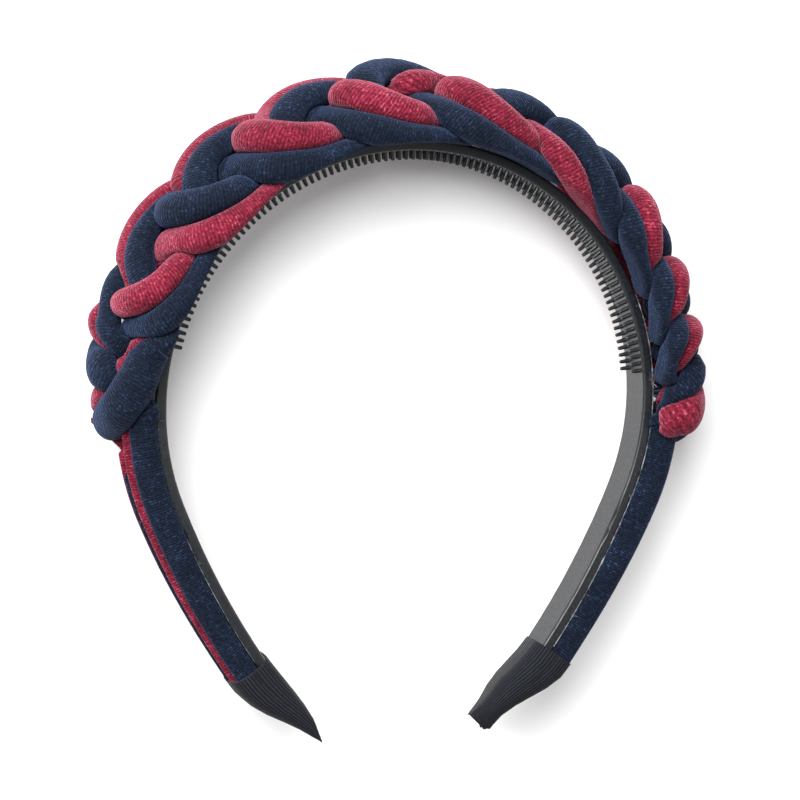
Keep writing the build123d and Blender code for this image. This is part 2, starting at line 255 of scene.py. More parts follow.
# Sections of a sleeve: distance from its mouth, inner and outer limit measured from
# the inner face of the band, width, and how square it is
Cuff = namedtuple("Cuff", "distance inner outer width squareness")
CUFFS = {
    "left": [
        Cuff(0.0, -0.8, 9.9, 13.4, 3.2),
        Cuff(4.0, -1.0, 9.7, 13.5, 3.2),
        Cuff(8.0, -1.2, 8.8, 13.3, 3.0),
        Cuff(12.0, -1.3, 7.2, 13.0, 2.8),
        Cuff(16.0, -1.2, 5.2, 12.4, 2.8),
        Cuff(20.0, -0.6, 3.4, 11.4, 3.2),
        Cuff(25.0, 1.0, 1.9, 8.6, 4.0),
    ],
    "right": [
        Cuff(0.0, -0.8, 9.9, 13.4, 3.2),
        Cuff(4.0, -1.1, 9.6, 13.5, 3.2),
        Cuff(8.0, -1.8, 8.2, 13.2, 3.0),
        Cuff(12.0, -2.4, 6.2, 12.6, 2.8),
        Cuff(16.0, -2.5, 4.4, 11.4, 2.6),
        Cuff(20.0, -2.1, 3.3, 9.4, 2.4),
        Cuff(23.5, -2.4, 3.6, 5.6, 2.6),
        Cuff(24.5, -2.3, 3.7, 4.4, 3.0),
    ],
}
# Distance of two rings of a sleeve's mesh, in mm, how many rings are turned in at the
# mouth, and points of one ring
CUFF_STEP = 0.5
TURNED_IN = 8
SLEEVE_AROUND = 288
# Power that rounds the tops of the ribs
RIB_ROUNDNESS = 0.8
# How far the pinched end of a sleeve frays, in mm, over its last stretch
FRAY = 0.7
FRAY_LENGTH = 4.0

SIGN = {"left": -1, "right": 1}

# Beads of glue: first and last arc, mean thickness in mm, number of hairs, the arc where
# hairs crowd, and the seed of the random draws
Seam = namedtuple("Seam", "side first last bead hairs spot seed")
SEAMS = [
    Seam("left", -162.0, -100.0, 0.06, 14, -101.0, 5),
    Seam("right", 70.0, 162.0, 0.11, 90, 92.0, 8),
]
# A bead's ring distance and least radius, and how far it sits in from the front edge and
# from the outer face of the band, in mm
BEAD_STEP = 0.35
BEAD_LEAST = 0.04
BEAD_IN = 0.05
BEAD_DOWN = 0.25
# A hair's radius, its longest way outward, sideways scatter, least way to the front and
# bow, and how far down the edge it may start, in mm
HAIR_RADIUS = 0.045
HAIR_REACH = 0.8
HAIR_SCATTER = 0.5
HAIR_FORWARD = 0.2
HAIR_BOW = 0.25
HAIR_DEPTH = 0.7
HAIR_RINGS = 5
# Share of the hairs that crowd, and how far they spread there, in mm
CROWD_SHARE = 0.3
CROWD_SPREAD = 1.6

# Half loops before and after a ring in which another cord can touch it, and how many
# rings are looked at together
LOOK_AROUND = 2.6
BLOCK = 16
# What a point gets as its share of a cord's half size where no cord is near
FAR = 9.0
# Least share of its size that a pressed cord keeps, and how often the share is halved
# on the way to it
MOST_PRESSED = 0.25
HALVINGS = 7
# Lowest point of a cord above the floor, in mm
FLOOR_ROOM = 0.05
# How far inside the plastic's inner face a cord's point still counts as in the plastic
UNDER_BAND = 0.3
# How far a cord hangs over the edges of the plastic, in mm
EDGE_HANG = 0.5
# Past this arc the cords of the back edge are drawn outward, with this slope
BACK_DRAWN = 42.0
BACK_SLOPE = 0.35
# A wave texture of scale 1 has one band in this length
ONE_BAND = pi / 10

# Half the side of the floor, in metres
FLOOR_HALF = 3.0
# Where the camera and the lamps aim, in mm from the inner face at the crown
AIM = (-1.39, -60.68, 0.0)
# Soft lamps: place in metres from that point, diameter in metres, power in watts
Lamp = namedtuple("Lamp", "name place size power")
LAMPS = [
    Lamp("soft_key", (-0.50, 0.50, 0.80), 0.8, 27.0),
    Lamp("soft_fill", (0.7, 0.1, 0.6), 0.7, 1.5),
]
SENSOR_WIDTH = 36.0


class BandSettings(bpy.types.PropertyGroup):
    """Sizes and colours of the plastic band and its glue"""
    crown_radius: bpy.props.FloatProperty(
        name="Crown Radius", description="Inner radius of the band over the crown, mm",
        default=61.0)
    crown_half_angle: bpy.props.FloatProperty(
        name="Crown Half Angle", description="Reach of that radius to each side",
        default=radians(112.0), subtype="ANGLE")
    leg_radius: bpy.props.FloatProperty(
        name="Leg Radius", description="Inner radius of the band along the legs, mm",
        default=200.0)
    half_length: bpy.props.FloatProperty(
        name="Half Length", description="Arc from the crown to a tip, mm", default=180.0)
    width: bpy.props.FloatProperty(
        name="Width", description="Width of the plastic band, mm", default=11.0)
    thickness: bpy.props.FloatProperty(
        name="Thickness", description="Thickness of the plastic band, mm", default=2.8)
    plastic: bpy.props.StringProperty(
        name="Plastic", description="Colour of the band, sRGB hex", default="#0F1216")
    glue: bpy.props.StringProperty(
        name="Glue", description="Colour of the glue, sRGB hex", default="#8A8E95")


class BraidSettings(bpy.types.PropertyGroup):
    """Sizes, softness and colours of the velvet cords"""
    half_width: bpy.props.FloatProperty(
        name="Cord Half Width", description="Half the width of a full cord, mm", default=3.5)
    half_height: bpy.props.FloatProperty(
        name="Cord Half Height", description="Half the height of a full cord, mm", default=3.15)
    lean: bpy.props.FloatProperty(
        name="Lean", description="How far the back edge runs ahead of the front edge",
        default=0.5)
    delay: bpy.props.FloatProperty(
        name="Delay", description="How much later a cord goes to the side, half loops",
        default=0.15)
    plumpness: bpy.props.FloatProperty(
        name="Plumpness", description="How far the filling swells a cord until it meets others",
        default=1.26)
    contact_gap: bpy.props.FloatProperty(
        name="Contact Gap", description="Room left between two cords that press together, mm",
        default=0.08)
    crease_softness: bpy.props.IntProperty(
        name="Crease Softness", description="How often the creases between cords are smoothed",
        default=3)
    stations: bpy.props.FloatProperty(
        name="Station Step", description="Distance of two rings of a cord, half loops",
        default=0.075)
    around: bpy.props.IntProperty(
        name="Points Around", description="Points of one ring", default=36)
    cord_end_arc: bpy.props.FloatProperty(
        name="Cord End", description="Arc of a cord's end inside its sleeve, mm", default=166.5)
    navy: bpy.props.StringProperty(
        name="Navy", description="Colour of the navy velvet, sRGB hex", default="#0D1523")
    # Sheen colour of the navy pile, which the velvet also paints as highlights on single tufts
    navy_sheen: bpy.props.StringProperty(
        name="Navy Rim", description="Colour of its pile at the rims, sRGB hex",
        default="#5A709E")
    burgundy: bpy.props.StringProperty(
        name="Burgundy", description="Colour of the burgundy velvet, sRGB hex",
        default="#631728")
    # Sheen colour of the burgundy pile, which the velvet also paints as highlights on single
    # tufts
    burgundy_sheen: bpy.props.StringProperty(
        name="Burgundy Rim", description="Colour of its pile at the rims, sRGB hex",
        default="#F79DB4")


class SleeveSettings(bpy.types.PropertyGroup):
    """Sizes and colour of the elastic sleeves"""
    mouth_arc: bpy.props.FloatProperty(
        name="Mouth", description="Arc of the sleeve's mouth, mm", default=163.0)
    wall: bpy.props.FloatProperty(
        name="Wall", description="Thickness of the elastic, mm", default=0.6)
    rib_pitch: bpy.props.FloatProperty(
        name="Rib Pitch", description="Distance of two ribs of the elastic, mm", default=0.80)
    rib_height: bpy.props.FloatProperty(
        name="Rib Height", description="Height of a rib, mm", default=0.22)
    ribs: bpy.props.IntProperty(
        name="Ribs", description="Ribs around a sleeve", default=50)
    elastic: bpy.props.StringProperty(
        name="Elastic", description="Colour of the elastic, sRGB hex", default="#0E1015")


class StageSettings(bpy.types.PropertyGroup):
    """Camera, floor and daylight"""
    azimuth: bpy.props.FloatProperty(
        name="Azimuth", description="How far the camera stands to the left",
        default=radians(19.33), subtype="ANGLE")
    elevation: bpy.props.FloatProperty(
        name="Elevation", description="How far the camera stands towards the crown",
        default=radians(7.01), subtype="ANGLE")
    roll: bpy.props.FloatProperty(
        name="Roll", description="Turn of the camera about its view",
        default=radians(1.18), subtype="ANGLE")
    distance: bpy.props.FloatProperty(
        name="Distance", description="Camera to the middle of the headband",
        default=0.6386, subtype="DISTANCE", unit="LENGTH")
    lens: bpy.props.FloatProperty(
        name="Lens", description="Focal length on the 36 mm sensor", default=118.1,
        unit="CAMERA")
    floor: bpy.props.StringProperty(
        name="Floor", description="Colour of the floor, sRGB hex", default="#F4F4F4")
    daylight: bpy.props.FloatProperty(
        name="Daylight", description="Strength of the even white light from all around",
        default=0.42)


class HeadbandSettings(bpy.types.PropertyGroup):
    """All settings of the headband"""
    band: bpy.props.PointerProperty(type=BandSettings)
    braid: bpy.props.PointerProperty(type=BraidSettings)
    sleeve: bpy.props.PointerProperty(type=SleeveSettings)
    stage: bpy.props.PointerProperty(type=StageSettings)


def settings():
    return bpy.context.scene.headband


def smooth(share):
    """0 to 1 with an even start and end."""
    share = np.clip(share, 0.0, 1.0)
    return share * share * (3 - 2 * share)


def ease(progress, part):
    """0 before a part of the way, 1 after it, with an even start and end."""
    return smooth((progress - part[0]) / (part[1] - part[0]))


def find_row(table, **wanted):
    """The first row of a table that has the wanted values."""
    for row in table:
        if all(getattr(row, name) == value for name, value in wanted.items()):
            return row
    raise ValueError(f"no row with {wanted}")


def crown_arc():
    """Arc at which the crown's radius ends and a leg begins."""
    band = settings().band
    return band.crown_radius * band.crown_half_angle


def crown_point():
    """Middle of the inner face of the band at the crown, in the frame, in mm."""
    middle = (band_low + band_high) / 2 / MM
    return np.array([middle.x, band_high.y / MM - settings().band.thickness, middle.z])


def heading(arc):
    """Angle from straight up at which the band faces outward."""
    band = settings().band
    on_crown = arc / band.crown_radius
    past = (np.abs(arc) - crown_arc()) / band.leg_radius
    on_leg = np.sign(arc) * (band.crown_half_angle + past)
    return np.where(np.abs(arc) <= crown_arc(), on_crown, on_leg)


def outward(arc):
    """Directions square to the outer face of the band."""
    turn = heading(arc)
    return np.stack([np.sin(turn), np.cos(turn), np.zeros_like(turn)], axis=-1)


def along(arc):
    """Directions along the band, to the right at the crown."""
    turn = heading(arc)
    return np.stack([np.cos(turn), -np.sin(turn), np.zeros_like(turn)], axis=-1)


def bend_radius(arc):
    band = settings().band
    return np.where(np.abs(arc) <= crown_arc(), band.crown_radius, band.leg_radius)


def from_inner_face(arc, side, distance):
    """Points at distances outward from the inner face of the band, in the frame, in mm."""
    arc = np.asarray(arc, float)
    band = settings().band
    half = band.crown_half_angle
    apart = band.crown_radius - band.leg_radius
    past = np.abs(arc) > crown_arc()
    centre = np.zeros(arc.shape + (3,))
    centre[..., 0] = np.where(past, np.sign(arc) * sin(half) * apart, 0.0)
    centre[..., 1] = np.where(past, cos(half) * apart, 0.0) - band.crown_radius
    reach = (bend_radius(arc) + distance)[..., None]
    point = centre + outward(arc) * reach
    point[..., 2] += side
    return point + crown_point()


def to_band(points):
    """Arc, side and distance outward from the inner face, of points in the frame."""
    band = settings().band
    half = band.crown_half_angle
    local = points - crown_point()
    x, y = local[..., 0], local[..., 1] + band.crown_radius
    turn = np.arctan2(x, y)
    radius = np.hypot(x, y)
    apart = band.crown_radius - band.leg_radius
    leg_x = np.abs(x) - apart * sin(half)
    leg_y = y - apart * cos(half)
    leg_turn = np.arctan2(leg_x, leg_y)
    past = np.abs(turn) > half
    leg_arc = crown_arc() + (leg_turn - half) * band.leg_radius
    arc = np.where(past, np.sign(x) * leg_arc, turn * band.crown_radius)
    distance = np.where(past, np.hypot(leg_x, leg_y) - band.leg_radius,
                        radius - band.crown_radius)
    return arc, local[..., 2], distance


def arc_and_pace(counts):
    """Arc at counts of half loops, and the arc of one half loop there."""
    knots = np.array([loop.half_loop for loop in LOOPS])
    arcs = np.array([loop.arc for loop in LOOPS])
    paces = np.empty(len(LOOPS))
    paces[0], paces[-1] = LEFT_PACE, RIGHT_PACE
    paces[1:-1] = (arcs[2:] - arcs[:-2]) / (knots[2:] - knots[:-2])
    index = np.clip(np.searchsorted(knots, counts, side="right") - 1, 0, len(LOOPS) - 2)
    span = knots[index + 1] - knots[index]
    u = (counts - knots[index]) / span
    pull, push = paces[index] * span, paces[index + 1] * span
    rise = arcs[index + 1] - arcs[index]
    cubic = pull + push - 2 * rise
    square = 3 * rise - 2 * pull - push
    arc = arcs[index] + u * (pull + u * (square + u * cubic))
    pace = (pull + u * (2 * square + u * 3 * cubic)) / span
    before, after = counts < knots[0], counts > knots[-1]
    arc = np.where(before, arcs[0] + (counts - knots[0]) * LEFT_PACE, arc)
    arc = np.where(after, arcs[-1] + (counts - knots[-1]) * RIGHT_PACE, arc)
    pace = np.where(before, LEFT_PACE, np.where(after, RIGHT_PACE, pace))
    return arc, pace


def fullness(arc):
    """Height and thickness shares at arcs."""
    knots = np.array([row.arc for row in FULLNESS])
    index = np.clip(np.searchsorted(knots, arc, side="right") - 1, 0, len(knots) - 2)
    share = smooth((arc - knots[index]) / (knots[index + 1] - knots[index]))
    shares = []
    for name in ("height", "thickness"):
        values = np.array([getattr(row, name) for row in FULLNESS])
        shares.append(values[index] + share * (values[index + 1] - values[index]))
    return shares


def woven(counts):
    """Offsets of a navy cord along, to the side and up, in half widths of a cord."""
    delay = np.array([0.0, settings().braid.delay, 0.0])
    total = np.zeros(counts.shape + (3,))
    for wave in WEAVE:
        angle = 2 * pi * wave.order * (counts[..., None] - delay) / REPEAT
        cosines = np.array([wave.along_cos, wave.side_cos, wave.rise_cos])
        sines = np.array([wave.along_sin, wave.side_sin, wave.rise_sin])
        total += np.cos(angle) * cosines + np.sin(angle) * sines
    return total


def stopped(counts, strand):
    """Half loops with the weaving brought to a stop past both ends of the braid."""
    result = counts
    for side in SIGN:
        stop = find_row(ENDINGS, strand=strand, side=side).stop
        inside = (stop - counts) * SIGN[side]
        eased = stop - SIGN[side] * (inside + STOP_EASE) ** 2 / (4 * STOP_EASE)
        result = np.where(inside < STOP_EASE, eased, result)
        result = np.where(inside <= -STOP_EASE, stop, result)
    return result


def untwisted(strand, counts):
    """Offsets of a strand's navy and burgundy cords, side by side."""
    own = counts - STRAND_LAG[strand]
    navy = woven(own)
    burgundy = woven(own + REPEAT / 2) * np.array([1, -1, 1])
    return navy + bent("navy", own), burgundy + bent("burgundy", own)


def bent(colour, counts):
    """How much a cord departs from its even way, in half widths of a cord."""
    total = np.zeros(counts.shape + (3,))
    for bend in BENDS:
        if bend.colour == colour:
            away = (counts - bend.half_loop + REPEAT / 2) % REPEAT - REPEAT / 2
            share = smooth(1 - np.abs(away) / bend.reach)[..., None]
            total += share * np.array([0.0, bend.side, bend.rise])
    return total


def pair(strand, counts):
    """Offsets of a strand's two cords, turned over each other where a turn says so."""
    navy, burgundy = untwisted(strand, counts)
    angle = np.zeros(counts.shape)
    for turn in TURNS:
        if turn.strand == strand:
            share = (counts - turn.half_loop) / turn.span + 0.5
            angle = angle + radians(turn.angle) * smooth(share)
    nudge = 0.02
    before = untwisted(strand, counts - nudge)
    after = untwisted(strand, counts + nudge)
    way = (after[0] + after[1] - before[0] - before[1]) / (4 * nudge)
    way[..., 0] += HALF_LOOP_PACE
    way /= np.linalg.norm(way, axis=-1, keepdims=True)
    middle = (navy + burgundy) / 2
    half = (navy - burgundy) / 2
    cosine, sine = np.cos(angle)[..., None], np.sin(angle)[..., None]
    shadow = np.sum(way * half, axis=-1, keepdims=True)
    turned = half * cosine + np.cross(way, half) * sine + way * shadow * (1 - cosine)
    return middle + turned, middle - turned


def stations(strand, colour, counts):
    """Arc, side and height of a cord's middle at counts, and its half sizes there."""
    braid = settings().braid
    band = settings().band
    sleeve = settings().sleeve
    navy, burgundy = pair(strand, stopped(counts, strand))
    offset = navy if colour == "navy" else burgundy
    arc, pace = arc_and_pace(counts)
    height_share, thickness_share = fullness(arc)
    half_along = pace / HALF_LOOP_PACE
    slip = (offset[..., 0] + braid.lean * (EDGE_SIDE - offset[..., 1])) * half_along
    side = offset[..., 1] * braid.half_width
    height = offset[..., 2] * braid.half_height * height_share
    radius = band.crown_radius
    half_along = half_along * thickness_share * (radius + band.thickness + height) / radius
    half_side = braid.half_width * thickness_share
    half_rise = braid.half_height * height_share * thickness_share
    for end in SIGN:
        ending = find_row(ENDINGS, strand=strand, side=end)
        progress = (counts - ending.start) / (ending.finish - ending.start)
        lane = find_row(LANES, strand=strand, colour=colour, side=end)
        taper = smooth((np.abs(arc) - LEG_TAPER_ARC) / (sleeve.mouth_arc - LEG_TAPER_ARC))
        narrow = 1 - taper * LANE_NARROWS
        lane_height = lane.half_height * (1 - taper * LANE_LOWERS)
        squeeze = ease(progress, SQUEEZED)
        shift = ease(progress, MOVED)
        sink = ease(progress, LAID)
        half_side = half_side + squeeze * (lane.half_width * narrow - half_side)
        half_along = half_along + squeeze * (lane.half_width * narrow - half_along)
        half_rise = half_rise + squeeze * (lane_height - half_rise)
        side = side + shift * (lane.centre * narrow - side)
        height = height + sink * (lane_height + LANE_CLEARANCE - height)
        slip = slip * (1 - sink)
    place = np.stack([arc + slip, side, height], axis=-1)
    half = np.stack([half_along, half_side, half_rise], axis=-1)
    for end in SIGN:
        rows = WRAPS.get((f"{colour}_cord_{strand}", end))
        if rows:
            place, half = wrapped(rows, counts, place, half)
    return place, half


def wrapped(rows, counts, place, half):
    """Places and half sizes led through the rows of a wrap."""
    table = np.array(sorted(rows))
    knots = table[:, 0]
    slopes = np.gradient(table, knots, axis=0)
    index = np.clip(np.searchsorted(knots, counts, side="right") - 1, 0, len(knots) - 2)
    span = (knots[index + 1] - knots[index])[:, None]
    u = np.clip((counts - knots[index])[:, None] / span, 0.0, 1.0)
    start, end = table[index], table[index + 1]
    curve = (smooth(1 - u) * start + smooth(u) * end
             + u * (1 - u) ** 2 * span * slopes[index]
             - u * u * (1 - u) * span * slopes[index + 1])
    share = smooth((counts - knots[0]) / WRAP_EASE) * smooth((knots[-1] - counts) / WRAP_EASE)
    share = share[:, None]
    size = curve[:, 4:5] * np.array([1.0, 1.0, WRAP_FLATNESS])
    return place + share * (curve[:, 1:4] - place), half + share * (size - half)


class CordShape:
    """Rings of one cord: middles, and the two half axes of each ring, in mm."""

    def __init__(self, strand, colour):
        self.colour = colour
        self.name = f"{colour}_cord_{strand}"
        braid = settings().braid
        band = settings().band
        first = LOOPS[0].half_loop - (LOOPS[0].arc + braid.cord_end_arc) / LEFT_PACE
        last = LOOPS[-1].half_loop + (braid.cord_end_arc - LOOPS[-1].arc) / RIGHT_PACE
        number = int((last - first) / braid.stations)
        counts = np.linspace(first, last, number)
        place, half = stations(strand, colour, counts)
        step = np.gradient(place, counts, axis=0)
        stretch = 1 + (band.thickness + place[:, 2]) / band.crown_radius
        step[:, 0] *= stretch
        way = step / half
        way /= np.linalg.norm(way, axis=1, keepdims=True)
        flat = np.cross(way, [0.0, 0.0, 1.0])
        flat /= np.linalg.norm(flat, axis=1, keepdims=True)
        steep = np.cross(flat, way)
        arc = place[:, 0]
        self.middles = from_inner_face(arc, place[:, 1], band.thickness + place[:, 2])
        self.wide = self.in_space(arc, flat * half)
        self.tall = self.in_space(arc, steep * half)
        normals = np.cross(self.wide, self.tall)
        self.normals = normals / np.linalg.norm(normals, axis=1, keepdims=True)
        lengths = np.linalg.norm(np.diff(self.middles, axis=0), axis=1)
        self.run = np.concatenate([[0.0], np.cumsum(lengths)])

    @staticmethod
    def in_space(arc, steps):
        """Steps along, to the side and up, as steps in the frame."""
        up = np.array([0.0, 0.0, 1.0])
        across = along(arc) * steps[:, :1]
        return across + up * steps[:, 1:2] + outward(arc) * steps[:, 2:]

    def spokes(self, around):
        """From the middle of each ring to its full surface, one row for each ring."""
        angle = 2 * pi * np.arange(around) / around
        wide = self.wide[:, None, :] * np.cos(angle)[None, :, None]
        return wide + self.tall[:, None, :] * np.sin(angle)[None, :, None]


def nearness(shape, points, rings):
    """How far points lie from a cord's middle line, as shares of its half size there.

    Rings, in rising order, count the rings of the points' own cord. A cord is only looked
    at near the same count of half loops.
    """
    window = round(LOOK_AROUND / settings().braid.stations)
    result = np.full(len(points), FAR)
    for start in range(0, len(shape.middles), BLOCK):
        first, last = np.searchsorted(rings, [start, start + BLOCK])
        if first == last:
            continue
        part = points[first:last]
        low = max(start - window, 0)
        middles = shape.middles[low:start + BLOCK + window]
        apart = np.sum(middles ** 2, axis=1)[None, :] - 2 * part @ middles.T
        index = low + np.argmin(apart, axis=1)
        step = part - shape.middles[index]
        step -= np.sum(step * shape.normals[index], axis=1)[:, None] * shape.normals[index]
        wide, tall = shape.wide[index], shape.tall[index]
        ww, tt = np.sum(wide * wide, axis=1), np.sum(tall * tall, axis=1)
        wt = np.sum(wide * tall, axis=1)
        sw, st = np.sum(step * wide, axis=1), np.sum(step * tall, axis=1)
        under = ww * tt - wt ** 2
        across = (sw * tt - st * wt) / under
        up = (st * ww - sw * wt) / under
        result[first:last] = np.hypot(across, up)
    return result


def blocked(others, points, rings, reach):
    """True where a point of a swollen cord lies in another cord, the band or the floor."""
    gap = settings().braid.contact_gap
    band = settings().band
    hit = np.zeros(len(points), bool)
    for other in others:
        share = nearness(other, points, rings)
        hit |= share < reach + gap / settings().braid.half_width
    arc, side, distance = to_band(points)
    # The plastic itself
    in_width = np.abs(side) < band.width / 2 + gap
    on_length = np.abs(arc) < band.half_length
    inside = (distance > -UNDER_BAND) & (distance < band.thickness + gap)
    hit |= in_width & on_length & inside
    # Past the front edge the cords stay beside the outer face, and past the back edge on
    # the right they are drawn away from it
    hit |= (side > 0) & (distance < band.thickness - EDGE_HANG)
    rise = BACK_SLOPE * (-side - band.width / 2)
    drawn = (arc > BACK_DRAWN) & (rise > 0)
    hit |= drawn & (distance < band.thickness - EDGE_HANG + rise)
    hit |= points[:, 2] < FLOOR_ROOM
    return hit


def press_together(shapes):
    """Share of its full size that each point of each cord keeps where cords meet."""
    braid = settings().braid
    around = braid.around
    results = {}
    for shape in shapes:
        others = [other for other in shapes if other is not shape]
        spokes = (shape.spokes(around) * braid.plumpness).reshape(-1, 3)
        middles = np.repeat(shape.middles, around, axis=0)
        rings = np.repeat(np.arange(len(shape.middles)), around)
        low = np.full(len(spokes), MOST_PRESSED)
        high = np.ones(len(spokes))
        hit = blocked(others, middles + spokes, rings, high * braid.plumpness)
        chosen = np.flatnonzero(hit)
        for _ in range(HALVINGS):
            middle = (low[chosen] + high[chosen]) / 2
            points = middles[chosen] + spokes[chosen] * middle[:, None]
            bad = blocked(others, points, rings[chosen], middle * braid.plumpness)
            high[chosen] = np.where(bad, middle, high[chosen])
            low[chosen] = np.where(bad, low[chosen], middle)
        share = np.ones(len(spokes))
        share[chosen] = low[chosen]
        share = share.reshape(-1, around)
        # Creases are softened by their neighbours around and along the cord
        for _ in range(braid.crease_softness):
            ring = (np.roll(share, 1, axis=1) + np.roll(share, -1, axis=1)) / 2
            run = np.vstack([share[:1], (share[:-2] + share[2:]) / 2, share[-1:]])
            share = 0.5 * share + 0.25 * ring + 0.25 * run
        results[shape.name] = share
    return results


def add_mesh(name, points, faces, material, body=BODY):
    """A smooth mesh object from points in mm."""
    mesh = bpy.data.meshes.new(name)
    mesh.from_pydata((np.asarray(points) * MM).tolist(), [], faces)
    mesh.validate()
    mesh.update()
    for face in mesh.polygons:
        face.use_smooth = True
    thing = bpy.data.objects.new(name, mesh)
    bpy.context.scene.collection.objects.link(thing)
    mesh.materials.append(material)
    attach(thing, body)
    return thing


def ring_faces(rings, around):
    """Quads between rings of points, and one flat face at both ends."""
    faces = []
    for ring in range(rings - 1):
        base = ring * around
        for number in range(around):
            after = (number + 1) % around
            faces.append((base + number, base + after,
                          base + around + after, base + around + number))
    faces.append(tuple(reversed(range(around))))
    top = (rings - 1) * around
    faces.append(tuple(top + number for number in range(around)))
    return faces


def lay_out_cloth(thing, across, run):
    """A map of the cloth in metres: across it and along it, one pair for each point."""
    layer = thing.data.uv_layers.new(name="cloth")
    loops = np.empty(len(thing.data.loops), np.int64)
    thing.data.loops.foreach_get("vertex_index", loops)
    pairs = np.stack([across[loops], run[loops]], axis=1) * MM
    layer.data.foreach_set("uv", pairs.astype(np.float32).ravel())


def linear(code):
    """Linear colour of an sRGB hex value."""
    values = []
    for start in (1, 3, 5):
        value = int(code[start:start + 2], 16) / 255
        values.append(value / 12.92 if value <= 0.04045 else ((value + 0.055) / 1.055) ** 2.4)
    return (*values, 1.0)


def shade(code, share):
    """A colour made darker or lighter by a share."""
    red, green, blue, alpha = linear(code)
    return (min(red * share, 1.0), min(green * share, 1.0), min(blue * share, 1.0), alpha)


def new_material(name):
    """An empty material and its node tree."""
    material = bpy.data.materials.new(name)
    material.use_nodes = True
    material.node_tree.nodes.clear()
    return material, material.node_tree


def add_node(tree, kind, links=None, inputs=None, **choices):
    """A node with its links, the values of its other inputs, and its own choices."""
    node = tree.nodes.new(kind)
    for name, value in choices.items():
        setattr(node, name, value)
    for socket, value in (inputs or {}).items():
        node.inputs[socket].default_value = value
    for socket, source in (links or {}).items():
        tree.links.new(source, node.inputs[socket])
    return node


def colour_ramp(tree, source, stops):
    """A ramp through stops of a position and a colour."""
    ramp = add_node(tree, "ShaderNodeValToRGB", {"Fac": source})
    elements = ramp.color_ramp.elements
    elements[0].position, elements[0].color = stops[0]
    elements[1].position, elements[1].color = stops[-1]
    for position, colour in stops[1:-1]:
        element = elements.new(position)
        element.color = colour
    return ramp.outputs["Color"]


def add_up(tree, sources):
    """The sum of sources, each times its share."""
    total = None
    for source, share in sources:
        links, inputs = {0: source}, {1: share, 2: 0.0}
        if total is not None:
            links[2] = total
        node = add_node(tree, "ShaderNodeMath", links, inputs, operation="MULTIPLY_ADD")
        total = node.outputs["Value"]
    return total


def stretch_velvet(name, code, sheen_colour):
    """Knitted stretch velvet, polyester pile brushed up. The eye gets a matte colour
    that is dark face on and pale at the rims, with brushed patches, fine rows of
    knitting across the cord, and painted highlights: sparks of the sheen colour on
    single tufts."""
    material, tree = new_material(name)
    cloth = add_node(tree, "ShaderNodeUVMap", uv_map="cloth").outputs["UV"]
    place = add_node(tree, "ShaderNodeTexCoord").outputs["Object"]
    # Pile fibres of 0.02 mm are too fine to show and are drawn as their tufts of 0.4 mm
    tuft = add_node(tree, "ShaderNodeTexNoise", {"Vector": place},
                    {"Scale": 1 / (0.75 * MM), "Detail": 3.0, "Roughness": 0.7}).outputs["Fac"]
    # Brushed patches of the pile, 4 mm wide
    patch = add_node(tree, "ShaderNodeTexNoise", {"Vector": place},
                     {"Scale": 1 / (7.0 * MM), "Detail": 2.0, "Roughness": 0.5}).outputs["Fac"]
    # Rows of knitting, 0.65 mm apart along the cord
    rows = add_node(tree, "ShaderNodeTexWave", {"Vector": cloth},
                    {"Scale": ONE_BAND / (0.65 * MM), "Distortion": 3.0, "Detail": 2.0,
                     "Detail Scale": 1.2},
                    wave_type="BANDS", bands_direction="Y").outputs["Fac"]
    tone = add_up(tree, [(tuft, 0.70), (rows, 0.10), (patch, 0.20)])
    # Tufts, rows and patches take the colour from 0.4 to 2 times the velvet's own; the top stop
    # paints highlights, sparks of the sheen colour on the brightest tufts
    base = colour_ramp(tree, tone, [
        (0.36, shade(code, 0.40)), (0.50, linear(code)), (0.60, shade(code, 2.0)),
        (0.72, shade(sheen_colour, 0.42))])
    pile = add_up(tree, [(tuft, 2.4), (rows, 0.6)])
    bump = add_node(tree, "ShaderNodeBump", {"Height": pile},
                    {"Strength": 0.8, "Distance": 0.22 * MM})
    shader = add_node(tree, "ShaderNodeBsdfPrincipled",
                      {"Base Color": base, "Normal": bump.outputs["Normal"]},
                      {"Roughness": 0.9, "IOR": 1.5, "Specular IOR Level": 0.12,
                       "Sheen Weight": 0.5, "Sheen Roughness": 0.3,
                       "Sheen Tint": linear(sheen_colour)})
    add_node(tree, "ShaderNodeOutputMaterial", {"Surface": shader.outputs["BSDF"]})
    return material


def moulded_plastic(code):
    """Injection moulded ABS or polystyrene. The eye gets a near-black skin with a soft
    shine, blurred streaks of reflected light, and fine scuffs from handling."""
    material, tree = new_material("moulded_black_plastic")
    place = add_node(tree, "ShaderNodeTexCoord").outputs["Object"]
    # Scuffs 0.4 mm wide and a slow waviness of the skin, 9 mm long
    scuff = add_node(tree, "ShaderNodeTexNoise", {"Vector": place},
                     {"Scale": 1 / (0.8 * MM), "Detail": 4.0, "Roughness": 0.6}).outputs["Fac"]
    wavy = add_node(tree, "ShaderNodeTexNoise", {"Vector": place},
                    {"Scale": 1 / (12.0 * MM), "Detail": 1.0}).outputs["Fac"]
    base = colour_ramp(tree, scuff, [
        (0.35, shade(code, 0.8)), (0.75, shade(code, 1.8))])
    rough = add_node(tree, "ShaderNodeMapRange", {"Value": scuff},
                     {"From Min": 0.3, "From Max": 0.75, "To Min": 0.28, "To Max": 0.5})
    height = add_up(tree, [(scuff, 1.0), (wavy, 8.0)])
    bump = add_node(tree, "ShaderNodeBump", {"Height": height},
                    {"Strength": 0.25, "Distance": 0.05 * MM})
    shader = add_node(tree, "ShaderNodeBsdfPrincipled",
                      {"Base Color": base, "Roughness": rough.outputs["Result"],
                       "Normal": bump.outputs["Normal"]}, {"IOR": 1.53})
    add_node(tree, "ShaderNodeOutputMaterial", {"Surface": shader.outputs["BSDF"]})
    return material


